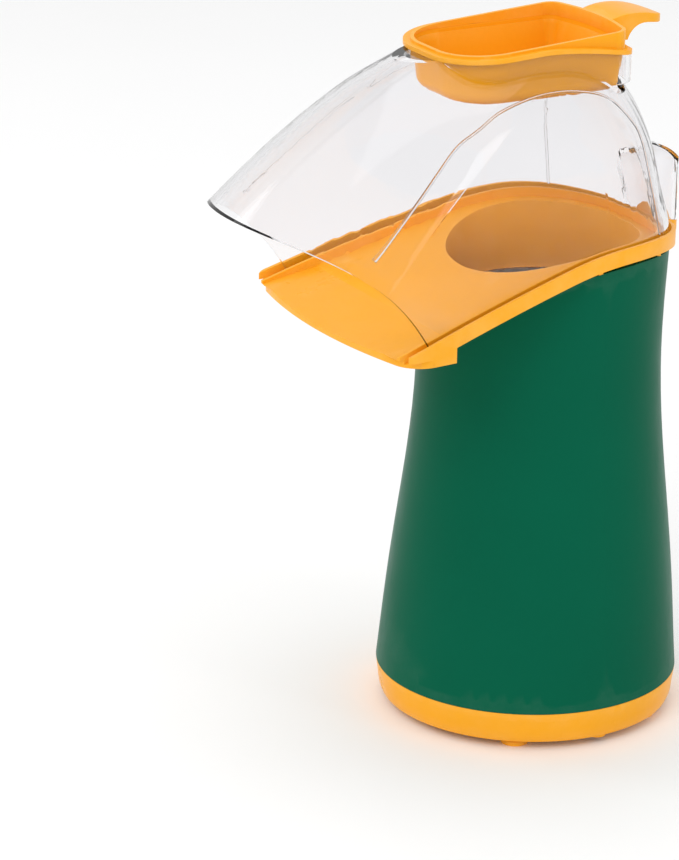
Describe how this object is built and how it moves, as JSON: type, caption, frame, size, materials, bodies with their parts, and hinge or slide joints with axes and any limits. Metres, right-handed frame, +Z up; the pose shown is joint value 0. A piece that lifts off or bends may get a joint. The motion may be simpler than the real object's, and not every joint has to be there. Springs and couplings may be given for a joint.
{
  "type": "hot air popcorn maker",
  "caption": "Hot-air popcorn maker: waisted round housing, slanted pouring tray, clear hood and a lift-off measuring cup.",
  "frame": {"origin": "on the table under the axis of the round base", "axes": "+Z up, the chute pours towards -Y, +X is the right-hand side seen from the chute's back"},
  "size_m": [0.1464, 0.2402, 0.3403],
  "materials": {
    "yellow_plastic": "smooth moulded, semi-gloss",
    "green_plastic": "satin moulded",
    "clear_plastic": "clear moulded",
    "zinc_steel": "zinc plated",
    "black_rubber": "matte",
    "dark_plastic": "matte",
    "bronze": "sintered",
    "copper": "enamelled",
    "ferrite": "sintered",
    "core_steel": "laminated",
    "carbon": "matte",
    "board_green": "printed board",
    "mica": "sheet mica",
    "heater_wire": "resistance wire",
    "aluminium_sheet": "drawn, satin"
  },
  "bodies": {
    "base": {"air_duct": "dark_plastic", "base_pan": "yellow_plastic", "carbon_brushes": "carbon", "chamber_collar": "dark_plastic", "cord_gland": "black_rubber", "feet": "yellow_plastic", "heater_board_cross": "mica", "heater_board_long": "mica", "heater_coil": "heater_wire", "housing_screws": "zinc_steel", "housing_shell": "green_plastic", "lower_bush": "bronze", "magnets": "ferrite", "motor_can": "zinc_steel", "motor_end_cap": "dark_plastic", "motor_plate": "zinc_steel", "motor_screws": "zinc_steel", "plate_screws": "zinc_steel", "popping_chamber": "aluminium_sheet", "rectifier_board": "board_green", "rectifier_diodes": "dark_plastic", "terminal_block": "dark_plastic", "thermal_fuse": "zinc_steel", "thermostat": "zinc_steel", "upper_bush": "bronze"},
    "rotor": {"motor_shaft": "zinc_steel", "fan_impeller": "dark_plastic", "armature_core": "core_steel", "armature_windings": "copper", "commutator": "copper"},
    "cover": {"chute_tray": "yellow_plastic", "hood": "clear_plastic"},
    "cup": {"measuring_cup": "yellow_plastic"}
  },
  "joints": [
    {"name": "fan_spin", "type": "hinge", "parent": "base", "child": "rotor", "pos_m": [0, 0.0024, 0.06], "axis": [0, 0, 1], "continuous": true},
    {"name": "cover_lift", "type": "slide", "parent": "base", "child": "cover", "axis": [0, 0, 1], "range_m": [0, 0.16]},
    {"name": "cup_lift", "type": "slide", "parent": "cover", "child": "cup", "axis": [0, 0, 1], "range_m": [0, 0.08]}
  ]
}
